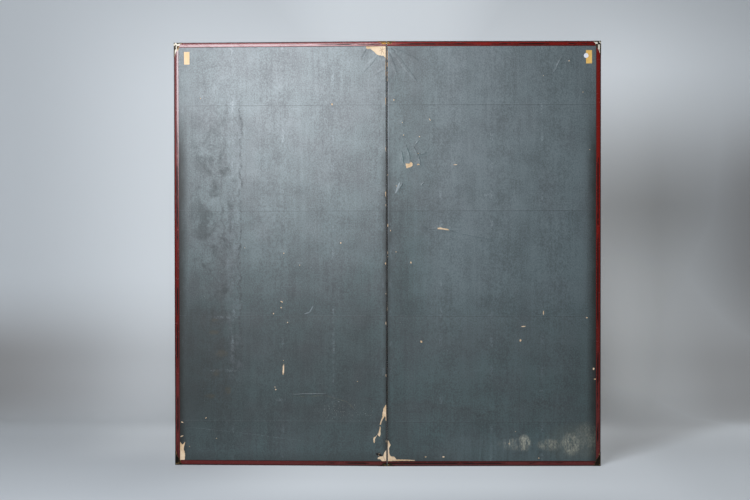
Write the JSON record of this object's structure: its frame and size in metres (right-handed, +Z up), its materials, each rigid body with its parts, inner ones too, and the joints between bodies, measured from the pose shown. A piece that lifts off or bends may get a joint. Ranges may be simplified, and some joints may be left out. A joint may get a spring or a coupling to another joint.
{
  "type": "folding screen",
  "caption": "Folding screen of papered lattice panels in worn red lacquer frames with blackened corner fittings, joined by a paper hinge that folds both ways",
  "frame": {"origin": "under the middle of the screen's box, on the floor", "axes": "+X to the right as seen from the papered back, +Y towards the gold front, +Z up"},
  "size_m": [1.7314, 0.0378, 1.72],
  "materials": {
    "cedar": "bare planed cedar",
    "red_lacquer": "worn red and black lacquer over wood",
    "blackened_brass": "blackened sheet brass, bright at its worn edges",
    "iron": "forged iron",
    "slate_paper": "slate-grey facing paper, soiled and torn",
    "cream_paper": "layered handmade paper",
    "gold_leaf_paper": "squares of gold leaf on paper",
    "brocade": "silk brocade mounted on paper",
    "label_paper": "blank label paper",
    "white_sticker": "blank round paper sticker"
  },
  "bodies": {
    "left_panel": {"left_back_paper": "slate_paper", "left_back_underpaper": "cream_paper", "left_border_bottom": "brocade", "left_border_outer": "brocade", "left_border_top": "brocade", "left_bottom_corner_fitting": "blackened_brass", "left_bottom_fold_cap": "blackened_brass", "left_core_bottom_rail": "cedar", "left_core_fold_stile": "cedar", "left_core_outer_stile": "cedar", "left_core_top_rail": "cedar", "left_fitting_tacks": "blackened_brass", "left_frame_bottom_rail": "red_lacquer", "left_frame_nails": "iron", "left_frame_outer_stile": "red_lacquer", "left_frame_top_rail": "red_lacquer", "left_front_underpaper": "cream_paper", "left_gold_ground": "gold_leaf_paper", "left_hinge_back_tabs": "cream_paper", "left_hinge_front_tabs": "cream_paper", "left_label": "label_paper", "left_lattice_crossbars": "cedar", "left_lattice_uprights": "cedar", "left_top_corner_fitting": "blackened_brass", "left_top_fold_cap": "blackened_brass"},
    "right_panel": {"right_back_paper": "slate_paper", "right_back_underpaper": "cream_paper", "right_border_bottom": "brocade", "right_border_outer": "brocade", "right_border_top": "brocade", "right_bottom_corner_fitting": "blackened_brass", "right_bottom_fold_cap": "blackened_brass", "right_core_bottom_rail": "cedar", "right_core_fold_stile": "cedar", "right_core_outer_stile": "cedar", "right_core_top_rail": "cedar", "right_fitting_tacks": "blackened_brass", "right_frame_bottom_rail": "red_lacquer", "right_frame_nails": "iron", "right_frame_outer_stile": "red_lacquer", "right_frame_top_rail": "red_lacquer", "right_front_underpaper": "cream_paper", "right_gold_ground": "gold_leaf_paper", "right_hinge_back_tabs": "cream_paper", "right_hinge_front_tabs": "cream_paper", "right_label": "label_paper", "right_lattice_crossbars": "cedar", "right_lattice_uprights": "cedar", "right_round_sticker": "white_sticker", "right_top_corner_fitting": "blackened_brass", "right_top_fold_cap": "blackened_brass"},
    "left_back_strips": {"hinge_webs_from_left_back": "cream_paper"},
    "right_back_strips": {"hinge_webs_from_right_back": "cream_paper"}
  },
  "joints": [
    {"name": "fold_gold_faces_together", "type": "hinge", "parent": "right_back_strips", "child": "left_panel", "pos_m": [0, 0.00135, 0.86], "axis": [0, 0, -1], "range_deg": [-2.4, 177.6]},
    {"name": "fold_backs_together", "type": "hinge", "parent": "right_back_strips", "child": "right_panel", "pos_m": [0.00043, -0.01925, 0.86], "axis": [0, 0, 1], "range_deg": [-180, 0]},
    {"name": "left_back_strips_turn", "type": "hinge", "parent": "left_panel", "child": "left_back_strips", "pos_m": [-0.00043, -0.01925, 0.86], "axis": [0, 0, 1], "range_deg": [-175.2, 0]}
  ],
  "couplings": [
    {"joint": "left_back_strips_turn", "follows": "fold_backs_together", "ratio": 0.9733}
  ]
}
